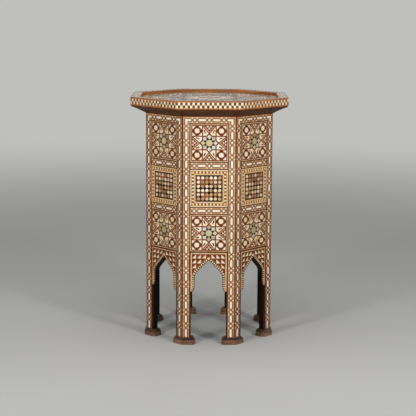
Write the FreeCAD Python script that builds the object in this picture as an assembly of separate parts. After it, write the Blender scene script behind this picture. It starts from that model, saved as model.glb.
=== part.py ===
import FreeCAD, Part
import math
import os

# Inlaid octagonal side table: eight mitred boards form a drum that stands on eight legs.
# All sizes are millimetres. +Z is up, the floor is z = 0 and the octagon is centred on the origin.

# The whole table
SIDES = 8
HEIGHT = 660.0
BODY_FLATS = 342.0
TOP_OVERHANG = 41.0
SIDE_THICK = 20.0

# Tray top: rim, sunk board and the veneers on them
RIM_HEIGHT = 22.0
RIM_WIDTH = 26.0
TRAY_DEPTH = 8.0
MARQUETRY_THICK = 3.0
RIM_BAND_THICK = 2.0
RIM_BAND_LIP = 2.5
EDGE_BAND_THICK = 2.0
EDGE_BAND_LIP = 2.5

# Cornice moulding between the drum and the rim
CORNICE_HEIGHT = 21.5
CORNICE_SETBACK = 2.0
CORNICE_TOE = 1.0
CORNICE_EDGE = 3.0
CORNICE_HOLLOW = 1.0

# How far a ground veneer lies below the bone and shell that are laid on it
INLAY_RELIEF = 0.3

# Inlay field on the face of each board
INLAY_THICK = 3.0
CORNER_LIP = 2.0
TOP_LIP = 1.0
STILE = 17.0
STRING = 2.0
BAND = 17.0
MOSAIC_BORDER = 16.0

# Pointed arch in the lower half of each board
APEX_DROP = 22.0
SPANDREL_BORDER = 5.0
ARCH_SHOULDER_RADIUS = 27.0
ARCH_SIDE = 33.0
FLARE_HEIGHT = 16.0
FLARE_RUN = 5.0
ARCH_STRING = 7.5
LEG_EDGE = 2.0

# The board behind the arch: a plain pointed opening, with a thin fret left in front of it
FRET_BACKING = 3.0
CARCASS_DROP = 0.6
CARCASS_SHOULDER_RADIUS = 60.0

# Block feet
FOOT_HEIGHT = 19.0
FOOT_OVERHANG = 6.5
FOOT_END = 12.5
FOOT_CHAMFER = 6.0
FOOT_TAPER = 1.0
FOOT_BEVEL_HEIGHT = 7.5
FOOT_BEVEL_RUN = 5.5
FOOT_INSIDE = 2.0

# Hidden joinery
BLOCK_LEG = 30.0
BLOCK_DEPTH = 18.0
BLOCK_HEIGHT = 30.0
SCREW_DIAMETER = 4.5
SCREW_HEAD_DIAMETER = 9.0
SCREW_HEAD_HEIGHT = 3.0
SCREW_BITE = 8.0
DOWEL_DIAMETER = 8.0
DOWEL_DEPTH = 12.0

# Room that cutting solids run past the wood that they cut
CUT_MARGIN = 5.0

# Places worked out from the sizes above
HALF_TURN = math.pi / SIDES
TAN_HALF = math.tan(HALF_TURN)
BODY_APOTHEM = BODY_FLATS / 2
TOP_APOTHEM = BODY_APOTHEM + TOP_OVERHANG
TRAY_APOTHEM = TOP_APOTHEM - RIM_WIDTH
FIELD_APOTHEM = BODY_APOTHEM - INLAY_THICK
INNER_APOTHEM = BODY_APOTHEM - SIDE_THICK
FACE_HALF = BODY_APOTHEM * TAN_HALF
FIELD_HALF = FACE_HALF - CORNER_LIP
STILE_INSIDE = FIELD_HALF - STILE
PANEL_HALF = STILE_INSIDE - STRING
MOSAIC_HALF = PANEL_HALF - MOSAIC_BORDER
ARCH_STRING_HALF = PANEL_HALF - SPANDREL_BORDER
ARCH_HALF = ARCH_STRING_HALF - ARCH_STRING
LEG_HALF = PANEL_HALF - LEG_EDGE
FRET_BACK = -FIELD_APOTHEM + FRET_BACKING

RIM_BOTTOM = HEIGHT - RIM_HEIGHT
TRAY_FLOOR = HEIGHT - TRAY_DEPTH
BOARD_TOP = TRAY_FLOOR - MARQUETRY_THICK
FACE_TOP = RIM_BOTTOM - CORNICE_HEIGHT
FIELD_TOP = FACE_TOP - TOP_LIP
TOP_BAND_BOTTOM = FIELD_TOP - BAND
UPPER_STAR = TOP_BAND_BOTTOM - STRING - PANEL_HALF
PANEL_TO_BAND = PANEL_HALF + STRING + BAND / 2
UPPER_CROSS = UPPER_STAR - PANEL_TO_BAND
MOSAIC = UPPER_CROSS - PANEL_TO_BAND
LOWER_CROSS = MOSAIC - PANEL_TO_BAND
LOWER_STAR = LOWER_CROSS - PANEL_TO_BAND
SPANDREL_TOP = LOWER_STAR - PANEL_HALF - STRING
ARCH_APEX = SPANDREL_TOP - APEX_DROP
ARCH_SPRING = ARCH_APEX - ARCH_HALF
FLARE_TOP = ARCH_SPRING - ARCH_SIDE
ARCH_BOTTOM = FLARE_TOP - FLARE_HEIGHT

UP = FreeCAD.Vector(0, 0, 1)
ORIGIN = FreeCAD.Vector(0, 0, 0)


def turned(shape, step):
    """A copy of a front-side shape on the side that lies step sides round the table."""
    copy = shape.copy()
    copy.rotate(ORIGIN, UP, 360.0 / SIDES * step)
    return copy


def ring(shape):
    """One copy of a front-side shape on every side."""
    return [turned(shape, step) for step in range(SIDES)]


def across_corner(point):
    """The mirror image of a plan point in the line from the centre through the front-right corner."""
    angle = HALF_TURN - math.pi / 2
    along = point[0] * math.cos(angle) + point[1] * math.sin(angle)
    return (2 * along * math.cos(angle) - point[0], 2 * along * math.sin(angle) - point[1])


def face_from(points):
    return Part.Face(Part.makePolygon(points + points[:1]))


def plan_face(points, z):
    return face_from([FreeCAD.Vector(x, y, z) for x, y in points])


def plan_prism(points, bottom, top):
    return plan_face(points, bottom).extrude(UP * (top - bottom))


def octagon(apothem):
    half = apothem * TAN_HALF
    corner = FreeCAD.Vector(half, -apothem, 0)
    turns = [FreeCAD.Rotation(UP, 360.0 / SIDES * step) for step in range(SIDES)]
    return [tuple(turn.multVec(corner))[:2] for turn in turns]


def mitred(section):
    """A length of moulding on the front side, from (distance from centre, height) points, cut to its mitres."""
    reach = max(distance for distance, height in section)
    half = reach * TAN_HALF
    profile = face_from([FreeCAD.Vector(-half, -distance, height) for distance, height in section])
    length = profile.extrude(FreeCAD.Vector(2 * half, 0, 0))
    heights = [height for distance, height in section]
    wedge = plan_prism([(0, 0), (-half, -reach), (half, -reach)], min(heights), max(heights))
    return length.common(wedge)


def rectangle(inner, outer, bottom, top):
    return [(inner, bottom), (outer, bottom), (outer, top), (inner, top)]


def field_box(left, right, bottom, top, sunk=0.0):
    """A flat piece in the recess of the front board, flush with its face or sunk below it."""
    corner = FreeCAD.Vector(left, -BODY_APOTHEM + sunk, bottom)
    return Part.makeBox(right - left, INLAY_THICK - sunk, top - bottom, corner)


def field_square(half, middle):
    return field_box(-half, half, middle - half, middle + half)


def ground(shape):
    """What is left of a flush piece of the front board's inlay when its face is sunk by the relief."""
    return shape.common(field_box(-FIELD_HALF, FIELD_HALF, 0.0, FIELD_TOP, INLAY_RELIEF))


def cornice_section():
    """Cove moulding: a toe against the drum, a hollow, and a square edge under the rim."""
    toe = FreeCAD.Vector(0, -BODY_APOTHEM - CORNICE_TOE, FACE_TOP)
    edge = FreeCAD.Vector(0, -TOP_APOTHEM + CORNICE_SETBACK, RIM_BOTTOM - CORNICE_EDGE)
    chord = edge - toe
    inward = FreeCAD.Vector(0, -chord.z, chord.y).normalize()
    if inward.z < 0:
        inward = inward * -1
    hollow = toe + chord * 0.5 + inward * CORNICE_HOLLOW
    edge_top = FreeCAD.Vector(0, edge.y, RIM_BOTTOM)
    back_top = FreeCAD.Vector(0, -BODY_APOTHEM, RIM_BOTTOM)
    back_toe = FreeCAD.Vector(0, -BODY_APOTHEM, FACE_TOP)
    outline = [Part.Arc(toe, hollow, edge).toShape()]
    corners = [edge, edge_top, back_top, back_toe, toe]
    outline += [Part.makeLine(start, end) for start, end in zip(corners, corners[1:])]
    return Part.Face(Part.Wire(outline))


def cornice_length():
    half = TOP_APOTHEM * TAN_HALF
    profile = cornice_section()
    profile.translate(FreeCAD.Vector(-half, 0, 0))
    wedge = plan_prism([(0, 0), (-half, -TOP_APOTHEM), (half, -TOP_APOTHEM)], FACE_TOP, RIM_BOTTOM)
    return profile.extrude(FreeCAD.Vector(2 * half, 0, 0)).common(wedge)


def pointed_head(half, apex, radius):
    """Right half of a pointed arch: its apex, then the start, middle and end of its round shoulder."""
    corner = apex - half
    run = radius * math.tan(math.pi / 8)
    centre = (half - radius, corner - run)
    middle = (centre[0] + radius * math.cos(math.pi / 8), centre[1] + radius * math.sin(math.pi / 8))
    start = (half - run * math.sqrt(0.5), corner + run * math.sqrt(0.5))
    return (0.0, apex), start, middle, (half, corner - run)


def arch_solid(head, foot, front, back):
    """A solid between two depths with a pointed head; foot gives its right side below the shoulder."""
    apex, start, middle, end = head
    right = [("line", [apex, start]), ("arc", [start, middle, end])] + foot(end)
    edges = []
    for sign in (1, -1):
        for kind, points in right:
            places = [FreeCAD.Vector(sign * x, front, z) for x, z in points]
            if kind == "arc":
                edges.append(Part.Arc(*places).toShape())
            else:
                edges.append(Part.makeLine(*places))
    last = right[-1][1][-1]
    edges.append(Part.makeLine(*[FreeCAD.Vector(sign * last[0], front, last[1]) for sign in (1, -1)]))
    wire = Part.Wire(Part.__sortEdges__(edges))
    return Part.Face(wire).extrude(FreeCAD.Vector(0, back - front, 0))


def fret_arch(outset, foot):
    """The shaped arch of the fret, outset into the wood."""
    head = pointed_head(ARCH_HALF + outset, ARCH_APEX + outset * math.sqrt(2), ARCH_SHOULDER_RADIUS + outset)
    return arch_solid(head, foot, -BODY_APOTHEM - CUT_MARGIN, FRET_BACK)


def carcass_arch():
    """The plain arch behind the fret, as wide as the gap between the legs."""
    head = pointed_head(LEG_HALF, ARCH_APEX - CARCASS_DROP, CARCASS_SHOULDER_RADIUS)
    return arch_solid(head, leg_foot, FRET_BACK, -INNER_APOTHEM + CUT_MARGIN)


def opening_foot(end):
    """Below the shoulder: straight side, flared end, and the gap between the legs down to the floor."""
    radius = (FLARE_HEIGHT ** 2 + FLARE_RUN ** 2) / (2 * FLARE_RUN)
    half_angle = math.atan2(FLARE_RUN, FLARE_HEIGHT)
    flare_middle = (ARCH_HALF + radius * (1 - math.cos(half_angle)), FLARE_TOP - radius * math.sin(half_angle))
    flare_end = (ARCH_HALF + FLARE_RUN, ARCH_BOTTOM)
    return [
        ("line", [end, (ARCH_HALF, FLARE_TOP)]),
        ("arc", [(ARCH_HALF, FLARE_TOP), flare_middle, flare_end]),
        ("line", [flare_end, (LEG_HALF, ARCH_BOTTOM)]),
        ("line", [(LEG_HALF, ARCH_BOTTOM), (LEG_HALF, 0.0)]),
    ]


def leg_foot(end):
    return [("line", [end, (LEG_HALF, 0.0)])]


def string_foot(end):
    return [("line", [end, (ARCH_STRING_HALF, ARCH_BOTTOM)])]


def dowel_place():
    """Plan place of the dowel in the middle of the right leg of the front board."""
    y = (FIELD_APOTHEM + INNER_APOTHEM) / 2
    return (LEG_HALF + y * TAN_HALF) / 2, -y


def upright_pin(place, bottom, top, diameter):
    return Part.makeCylinder(diameter / 2, top - bottom, FreeCAD.Vector(place[0], place[1], bottom), UP)


def dowel(place):
    return upright_pin(place, FOOT_HEIGHT - DOWEL_DEPTH, FOOT_HEIGHT + DOWEL_DEPTH, DOWEL_DIAMETER)


def side_board():
    """Board whose arch is a thin shaped fret in front of a wider, plain opening."""
    board = mitred(rectangle(INNER_APOTHEM, BODY_APOTHEM, FOOT_HEIGHT, RIM_BOTTOM))
    board = board.cut(fret_arch(0.0, opening_foot)).cut(carcass_arch())
    board = board.cut(field_box(-FIELD_HALF, FIELD_HALF, FOOT_HEIGHT, FIELD_TOP))
    x, y = dowel_place()
    for side in (x, -x):
        board = board.cut(dowel((side, y)))
    return board


def foot_plan(inset):
    """Outline of the foot, drawn in by inset: past the board outside and along it, with its end chamfered."""
    outer = BODY_APOTHEM + FOOT_OVERHANG - inset
    inner = INNER_APOTHEM - FOOT_INSIDE
    end = LEG_HALF - FOOT_END + inset
    front = [(end, -inner), (end, FOOT_CHAMFER - outer), (end + FOOT_CHAMFER, -outer)]
    beside = [across_corner(point) for point in reversed(front)]
    return front + [(outer * TAN_HALF, -outer)] + beside + [(inner * TAN_HALF, -inner)]


def foot():
    """Tapered block with a bevelled upper edge, under the front-right corner."""
    shoulder = FOOT_HEIGHT - FOOT_BEVEL_HEIGHT
    levels = [(0.0, 0.0), (FOOT_TAPER, shoulder), (FOOT_TAPER + FOOT_BEVEL_RUN, FOOT_HEIGHT)]
    plans = [plan_face(foot_plan(inset), z).OuterWire for inset, z in levels]
    block = Part.makeLoft(plans, True, True)
    for place in (dowel_place(), across_corner(dowel_place())):
        block = block.cut(dowel(place))
    return block


def block_plan():
    """Pentagon that fills the inside corner of two boards."""
    corner = (INNER_APOTHEM * TAN_HALF, -INNER_APOTHEM)
    end = (corner[0] - BLOCK_LEG, -INNER_APOTHEM)
    back = (end[0], -INNER_APOTHEM + BLOCK_DEPTH)
    return [corner, end, back, across_corner(back), across_corner(end)]


def screw_place():
    """Plan place of the screw, halfway through the glue block on the corner line."""
    corner, end, back, far_back, far_end = block_plan()
    return ((2 * corner[0] + back[0] + far_back[0]) / 4, (2 * corner[1] + back[1] + far_back[1]) / 4)


def top_screw():
    """Countersunk screw, from under the glue block up into the top board."""
    x, y = screw_place()
    bottom = RIM_BOTTOM - BLOCK_HEIGHT
    head = Part.makeCone(
        SCREW_HEAD_DIAMETER / 2, SCREW_DIAMETER / 2, SCREW_HEAD_HEIGHT, FreeCAD.Vector(x, y, bottom), UP)
    shank = upright_pin((x, y), bottom + SCREW_HEAD_HEIGHT, RIM_BOTTOM + SCREW_BITE, SCREW_DIAMETER)
    return head.fuse(shank)


def corner_block():
    block = plan_prism(block_plan(), RIM_BOTTOM - BLOCK_HEIGHT, RIM_BOTTOM)
    return block.cut(top_screw())


def top_board():
    board = plan_prism(octagon(TRAY_APOTHEM), RIM_BOTTOM, BOARD_TOP)
    for screw in ring(top_screw()):
        board = board.cut(screw)
    return board


def top_marquetry():
    return plan_prism(octagon(TRAY_APOTHEM), BOARD_TOP, TRAY_FLOOR - INLAY_RELIEF)


def rim_band(sunk):
    """Veneer let into the flat of the rim, or with no sinking the groove that takes it."""
    inner = TRAY_APOTHEM + RIM_BAND_LIP
    outer = TOP_APOTHEM - RIM_BAND_LIP
    return mitred(rectangle(inner, outer, HEIGHT - RIM_BAND_THICK, HEIGHT - sunk))


def edge_band(sunk):
    """Chequered veneer let into the outer edge of the rim, or with no sinking the groove that takes it."""
    inner = TOP_APOTHEM - EDGE_BAND_THICK
    outer = TOP_APOTHEM - sunk
    return mitred(rectangle(inner, outer, RIM_BOTTOM + EDGE_BAND_LIP, HEIGHT - EDGE_BAND_LIP))


def rim_length():
    rim = mitred(rectangle(TRAY_APOTHEM, TOP_APOTHEM, RIM_BOTTOM, HEIGHT))
    return rim.cut(rim_band(0.0)).cut(edge_band(0.0))


def stile_bands():
    return [field_box(*edges, FOOT_HEIGHT, TOP_BAND_BOTTOM)
            for edges in ((-FIELD_HALF, -STILE_INSIDE), (STILE_INSIDE, FIELD_HALF))]


def top_band():
    return field_box(-FIELD_HALF, FIELD_HALF, TOP_BAND_BOTTOM, FIELD_TOP)


def cross_bands():
    return [field_box(-PANEL_HALF, PANEL_HALF, middle - BAND / 2, middle + BAND / 2)
            for middle in (UPPER_CROSS, LOWER_CROSS)]


def mosaic_frame():
    return field_square(PANEL_HALF, MOSAIC).cut(field_square(MOSAIC_HALF, MOSAIC))


def spandrel_panel():
    panel = field_box(-PANEL_HALF, PANEL_HALF, ARCH_BOTTOM, SPANDREL_TOP)
    return panel.cut(fret_arch(ARCH_STRING, string_foot))


def arch_string():
    around = field_box(-PANEL_HALF, PANEL_HALF, ARCH_BOTTOM, SPANDREL_TOP)
    strip = around.common(fret_arch(ARCH_STRING, string_foot))
    return strip.cut(fret_arch(0.0, opening_foot))


def string_lines():
    """The thin dark grid that parts the panels and edges the legs."""
    grid = field_box(-STILE_INSIDE, STILE_INSIDE, FOOT_HEIGHT, TOP_BAND_BOTTOM)
    grid = grid.cut(fret_arch(0.0, opening_foot))
    grid = grid.cut(field_box(-PANEL_HALF, PANEL_HALF, ARCH_BOTTOM, SPANDREL_TOP))
    for middle in (UPPER_STAR, MOSAIC, LOWER_STAR):
        grid = grid.cut(field_square(PANEL_HALF, middle))
    for band in cross_bands():
        grid = grid.cut(band)
    return grid


def write(name, solids):
    shape = solids[0] if len(solids) == 1 else Part.makeCompound(solids)
    shape.exportStep("parts/" + name + ".step")
    volume = sum(solid.Volume for solid in solids) / 1000
    print(name, "solids:", len(shape.Solids), "valid:", shape.isValid(), "cm3:", round(volume, 1))


os.makedirs("parts", exist_ok=True)

# Structural pieces, one node each, numbered round the table from the front
structure = {
    "side_board": side_board(),
    "foot": foot(),
    "cornice": cornice_length(),
    "rim": rim_length(),
    "corner_block": corner_block(),
}
for kind, shape in structure.items():
    for number, piece in enumerate(ring(shape), start=1):
        write(kind + "_" + str(number), [piece])

write("top_board", [top_board()])
write("top_marquetry", [top_marquetry()])

# Inlay and small joinery, one node for each kind with a copy on every side
repeated = {
    "rim_bands": [rim_band(INLAY_RELIEF)],
    "edge_bands": [edge_band(INLAY_RELIEF)],
    "stile_bands": [ground(band) for band in stile_bands()],
    "top_bands": [ground(top_band())],
    "cross_bands": [ground(band) for band in cross_bands()],
    "upper_star_panels": [ground(field_square(PANEL_HALF, UPPER_STAR))],
    "mosaic_frames": [ground(mosaic_frame())],
    "mosaic_panels": [ground(field_square(MOSAIC_HALF, MOSAIC))],
    "lower_star_panels": [ground(field_square(PANEL_HALF, LOWER_STAR))],
    "spandrel_panels": [ground(spandrel_panel())],
    "arch_strings": [ground(arch_string())],
    "string_lines": [string_lines()],
    "top_screws": [top_screw()],
    "foot_dowels": [dowel(dowel_place()), dowel(across_corner(dowel_place()))],
}
for name, shapes in repeated.items():
    write(name, [piece for shape in shapes for piece in ring(shape)])
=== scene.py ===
# %% [markdown]
# # An inlaid octagonal side table
# Eight mitred boards make a hollow drum on eight legs, with a tray top above it. Workshops cover such a
# table with thousands of small tiles of bone, shell and coloured wood. The solids already hold the
# boards, the mouldings and the thin grounds that the tiles are glued to, so this lesson adds the tiles,
# the worn edges and the finishes, and changes no size.

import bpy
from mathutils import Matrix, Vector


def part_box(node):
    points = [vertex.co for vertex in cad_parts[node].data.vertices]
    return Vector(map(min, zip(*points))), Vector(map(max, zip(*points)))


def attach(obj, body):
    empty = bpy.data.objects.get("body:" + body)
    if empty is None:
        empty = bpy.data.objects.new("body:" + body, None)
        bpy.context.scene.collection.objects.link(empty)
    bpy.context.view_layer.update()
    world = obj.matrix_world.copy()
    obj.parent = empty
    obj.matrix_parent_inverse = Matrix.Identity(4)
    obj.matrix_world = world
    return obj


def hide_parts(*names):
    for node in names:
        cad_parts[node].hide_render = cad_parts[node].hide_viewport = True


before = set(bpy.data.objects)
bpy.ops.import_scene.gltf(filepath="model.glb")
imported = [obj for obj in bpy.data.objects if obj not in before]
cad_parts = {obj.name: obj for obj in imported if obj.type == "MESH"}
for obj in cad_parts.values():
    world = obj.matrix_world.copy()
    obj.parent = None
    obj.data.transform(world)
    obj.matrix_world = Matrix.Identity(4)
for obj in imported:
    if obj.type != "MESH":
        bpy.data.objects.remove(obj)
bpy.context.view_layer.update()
print("solids:", len(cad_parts))

# %% [markdown]
# ## Sizes
# A tile has to lie exactly on its ground, so the places of the panels are read from the solids and
# never typed again. Only the sizes of the tiles themselves are written here, each in the step that
# first uses it. Everything is in millimetres until it goes into a mesh, which is in metres.

# %% Sizes of the table
import math
from random import Random

import bmesh
import bpy
from mathutils import Matrix, Vector

MM = 0.001
SIDES = 8
TURN = math.tau / SIDES
HALF_TURN_SLOPE = math.tan(TURN / 2)
Y, Z = 1, 2


def span(node, axis):
    """Lowest and highest place of a solid along one axis, in millimetres."""
    low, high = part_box(node)
    return low[axis] / MM, high[axis] / MM


def middle(node):
    return sum(span(node, Z)) / 2


def half_height(node):
    low, high = span(node, Z)
    return (high - low) / 2


FACE = -span("side_board_1", Y)[0]
RELIEF = FACE + span("stile_bands", Y)[0]
PANEL_HALF = half_height("upper_star_panels")
UPPER_STAR = middle("upper_star_panels")
LOWER_STAR = middle("lower_star_panels")
MOSAIC = middle("mosaic_panels")
TOP_BAND = middle("top_bands")
BAND_HALF = half_height("top_bands")
LINE = span("top_bands", Z)[0] - span("upper_star_panels", Z)[1]
STILE = PANEL_HALF + LINE + BAND_HALF
CROSS_BANDS = ((UPPER_STAR + MOSAIC) / 2, (LOWER_STAR + MOSAIC) / 2)
FOOT_TOP = span("foot_1", Z)[1]
print("face at", round(FACE, 2), "panels", round(2 * PANEL_HALF, 2), "wide")
print("tiles stand", round(RELIEF, 2), "proud of the boards")

# %% [markdown]
# ## Camera
# The table is seen nearly square on, from a little above and from far away, so its upright edges stay
# almost parallel. A long lens at the right distance gives that. A small roll follows the slight lean of
# the picture.

# %% Camera
CAMERA_PLACE = (-0.0025, -3.4331, 0.9389)
CAMERA_LENS = 108.1
CAMERA_TILT = math.radians(9.83)
CAMERA_ROLL = math.radians(0.29)
UPRIGHT = math.pi / 2

camera = bpy.data.objects.new("camera", bpy.data.cameras.new("camera"))
camera.data.lens = CAMERA_LENS
aim = Matrix.Rotation(UPRIGHT - CAMERA_TILT, 4, "X") @ Matrix.Rotation(CAMERA_ROLL, 4, "Z")
camera.matrix_world = Matrix.Translation(CAMERA_PLACE) @ aim
bpy.context.collection.objects.link(camera)
bpy.context.scene.camera = camera
bpy.context.scene.view_settings.view_transform = "Standard"
print("camera looks down", round(math.degrees(CAMERA_TILT), 2), "degrees")

# %% [markdown]
# ## Sums on a surface
# A finish is a sum of patterns, and sums are easier to read as Python than as a web of nodes. This
# class holds one output of a node. Its operators add Math nodes, and its node method adds any other
# kind: it sets the settings first, and then a value or a link for each input. Colours are written as a
# picture shows them, and become linear numbers where a ramp takes them.

# %% Shade
def colour(red, green, blue):
    """A colour as a picture shows it, 0 to 255, in the linear numbers that a shader takes."""
    def linear(level):
        share = level / 255
        return share / 12.92 if share <= 0.04045 else ((share + 0.055) / 1.055) ** 2.4
    return (linear(red), linear(green), linear(blue), 1.0)


class Shade:
    """A value, vector or colour that varies over a surface."""

    def __init__(self, tree, socket=None):
        self.tree = tree
        self.socket = socket

    def node(self, kind, inputs=None, output=0, stops=(), **settings):
        made = self.tree.nodes.new("ShaderNode" + kind)
        for name, value in settings.items():
            setattr(made, name, value)
        for number, (position, tint) in enumerate(stops):
            ramp = made.color_ramp.elements
            stop = ramp[number] if number < 2 else ramp.new(position)
            stop.position = position
            stop.color = colour(*tint)
        for key, value in (inputs or {}).items():
            if isinstance(value, Shade):
                value.feed(made.inputs[key])
            else:
                made.inputs[key].default_value = value
        return Shade(self.tree, made.outputs[output])

    def feed(self, socket):
        self.tree.links.new(self.socket, socket)

    def ramp(self, stops):
        return self.node("ValToRGB", {"Fac": self}, stops=stops)

    def maths(self, operation, *terms):
        return self.node("Math", dict(enumerate(terms)), operation=operation)

    def __add__(self, other):
        return self.maths("ADD", self, other)

    def __mul__(self, other):
        return self.maths("MULTIPLY", self, other)

    def __sub__(self, other):
        return self.maths("SUBTRACT", self, other)

    def __rsub__(self, other):
        return self.maths("SUBTRACT", other, self)

    __radd__ = __add__
    __rmul__ = __mul__


print("operators ready:", [name for name in vars(Shade) if name.startswith("__r")])

# %% [markdown]
# ## Patterns that every finish shares
# Wood and bone both show streaks that run one way. Noise read at stretched coordinates gives them. On a
# ring of eight sides the streaks have to turn with the side, so the coordinates are first turned back
# to the front by the nearest whole number of sides, and moved apart so that no two sides look alike.
# Each tile also carries one random number of its own, called tone. The front is painted paler than the
# other sides, as painted light, and the legs are painted darker towards the floor, as painted shade.

# %% Shared patterns
SIDE_SHIFT = 0.83
EVEN = (1.0, 1.0, 1.0)
MEAN_TONE = 0.5
# Painted light: faces turned to the front are painted paler, so the front looks brighter than the sides.
FRONT_LIGHT_DIRECTION = (0.0, -1.0, 0.0)
FRONT_LIGHT_FOCUS = 3.0
# Painted shade: surfaces are painted darker towards the floor, where the legs get less light.
FLOOR_SHADE_BELOW = 450.0
FLOOR_SHADE_DEPTH = 0.11
COAT_ROUGHNESS = 0.12
BUMP_STRENGTH = 0.5


def finish(name, roughness, coat=0.0):
    """A new material, its main shader and a Shade to start its nodes from."""
    material = bpy.data.materials.new(name)
    material.use_nodes = True
    shader = material.node_tree.nodes["Principled BSDF"]
    shader.inputs["Roughness"].default_value = roughness
    shader.inputs["Coat Weight"].default_value = coat
    shader.inputs["Coat Roughness"].default_value = COAT_ROUGHNESS
    return material, shader, Shade(material.node_tree)


def part_of(place, axis):
    return place.node("SeparateXYZ", {"Vector": place}, axis)


def object_place(start):
    return start.node("TexCoord", output="Object")


def surface_normal(start):
    return start.node("TexCoord", output="Normal")


def side_place(start):
    """Object coordinates turned to the front from any side, and the same moved apart side by side."""
    place = object_place(start)
    bearing = start.maths("ARCTAN2", part_of(place, "X"), part_of(place, "Y") * -1.0)
    side = start.maths("ROUND", bearing * (1 / TURN))
    front = start.node("VectorRotate", {"Vector": place, "Angle": side * -TURN}, rotation_type="Z_AXIS")
    number = start.maths("FLOORED_MODULO", side, SIDES)
    shift = start.node("CombineXYZ", {"Y": number * SIDE_SHIFT})
    return front, start.node("VectorMath", {0: front, 1: shift}, operation="ADD")


def streaks(place, stretch, size, detail=3.0, distortion=0.0):
    """Noise whose marks are about size millimetres across, drawn out where stretch is small."""
    drawn = place.node("VectorMath", {0: place, 1: stretch}, operation="MULTIPLY")
    values = {"Vector": drawn, "Scale": 1 / (size * MM), "Detail": detail, "Distortion": distortion}
    return place.node("TexNoise", values)


def pits(place, stretch, size, level):
    """1 in small scattered marks about size millimetres across, 0 between them; few where level is high."""
    return place.maths("GREATER_THAN", streaks(place, stretch, size, detail=1.0), level)


def tone(start, spread):
    """The random number of a tile, spread evenly on both sides of nought."""
    number = start.node("Attribute", output="Fac", attribute_name="tone")
    return (number - MEAN_TONE) * spread


def painted_front_light(start):
    """Painted light on faces turned to the front: 1 straight towards it, 0 when square to it or beyond."""
    values = {0: surface_normal(start), 1: FRONT_LIGHT_DIRECTION}
    facing = start.node("VectorMath", values, "Value", operation="DOT_PRODUCT")
    return start.maths("POWER", start.maths("MAXIMUM", facing, 0.0), FRONT_LIGHT_FOCUS)


def painted_floor_shade(start):
    """Painted shade towards the floor: nought above a set height, and deepest at the floor."""
    height = part_of(object_place(start), "Z")
    limits = {"From Min": FLOOR_SHADE_BELOW * MM, "From Max": 0.0, "To Max": FLOOR_SHADE_DEPTH}
    return start.node("MapRange", {"Value": height, **limits})


def upward(start):
    """How far a surface faces up."""
    return start.maths("MAXIMUM", part_of(surface_normal(start), "Z"), 0.0)


def bump(height, shader, depth):
    """Raises the surface where height is large, by about depth millimetres."""
    values = {"Height": height, "Strength": BUMP_STRENGTH, "Distance": depth * MM}
    height.node("Bump", values).feed(shader.inputs["Normal"])


print("one side turns", round(math.degrees(TURN)), "degrees")

# %% [markdown]
# ## Woods
# The boards and mouldings are dark walnut. The grounds are paler woods, and the lines are dark
# red-brown. A wood is a slow figure, fine fibres and open pores, all drawn out along the grain. The
# polish is old and thin, so it is smoother where the fibres stand up, and the pores sink below it.
# The boards are near black as painted shade inside the drum, under an outer skin painted paler as painted
# light; the arch edging is near black as painted shade deep in the arches, under its golden face. The
# slopes of the feet are darker where they face up.

# %% Woods
UP_GRAIN = (1.0, 1.0, 0.05)
LEVEL_GRAIN = (0.05, 1.0, 1.0)
FIGURE_DETAIL, FIGURE_WAVE = 4.0, 1.5
FIBRE = 1.1
PORE, PORE_LEVEL = 0.5, 0.66
FIGURE_SHARE, FIBRE_SHARE, PORE_SHADE = 0.7, 0.3, 0.22
DARK_STOP, PALE_STOP, FRONT_LIT_STOP = 0.3, 0.68, 1.0
FRONT_LIGHT_STRENGTH = 0.35
FIBRE_POLISH, PORE_DULLNESS = 0.25, 0.12
FIBRE_RISE, GRAIN_DEPTH = 0.4, 0.06
MIX_FACTOR, MIX_FROM, MIX_TO, MIX_RESULT = 0, 6, 7, 2


def wood(name, dark, pale, grain=UP_GRAIN, roughness=0.45, coat=0.05, gloss=0.3, figure=9.0, spread=0.0,
         shaded_below_skin=None, front_lit_tint=None, darker_facing_up=None):
    """A polished wood between two colours.

    spread parts the tones of tiles. rubbed gives the two colours and the depth of an outer skin; where it
    is given, the first two colours are near black painted shade deeper in, and on boards the skin is
    painted light. faded is the painted colour of the lit front, which comes with painted shade towards the
    floor, and dust is how far the wood is darker where it faces up.
    """
    material, shader, start = finish(name, roughness, coat)
    shader.inputs["Specular IOR Level"].default_value = gloss
    front, place = side_place(start)
    rings = streaks(place, grain, figure, FIGURE_DETAIL, FIGURE_WAVE)
    fibres = streaks(place, grain, FIBRE)
    pores = pits(place, grain, PORE, PORE_LEVEL)
    shade = rings * FIGURE_SHARE + fibres * FIBRE_SHARE - pores * PORE_SHADE
    stops = ((DARK_STOP, dark), (PALE_STOP, pale))
    if spread:
        shade = shade + tone(start, spread)
    # Painted light: the front is painted towards the faded colour. Painted shade: darker towards the floor.
    if front_lit_tint:
        shade = shade + painted_front_light(start) * FRONT_LIGHT_STRENGTH - painted_floor_shade(start)
        stops += ((FRONT_LIT_STOP, front_lit_tint),)
    # Darker where the surface faces up, as on the slopes of the feet.
    if darker_facing_up:
        shade = shade - upward(start) * darker_facing_up
    tint = shade.ramp(stops)
    # Painted light and shade: within the skin the wood takes the skin's colours, deeper in it keeps its
    # near-black painted shade.
    if shaded_below_skin:
        skin_dark, skin_pale, skin_depth = shaded_below_skin
        skin = shade.ramp(((DARK_STOP, skin_dark), (PALE_STOP, skin_pale)))
        depth = part_of(front, "Y") + FACE * MM
        outside = start.node("MapRange", {"Value": depth, "From Min": skin_depth * MM, "From Max": 0.0})
        values = {MIX_FACTOR: outside, MIX_FROM: tint, MIX_TO: skin}
        tint = start.node("Mix", values, MIX_RESULT, data_type="RGBA")
    tint.feed(shader.inputs["Base Color"])
    (fibres * -FIBRE_POLISH + (roughness + PORE_DULLNESS)).feed(shader.inputs["Roughness"])
    bump(fibres * FIBRE_RISE - pores, shader, GRAIN_DEPTH)
    return material


# Painted light: the paler skin of the boards. The arch skin is the golden face of the edging.
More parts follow.
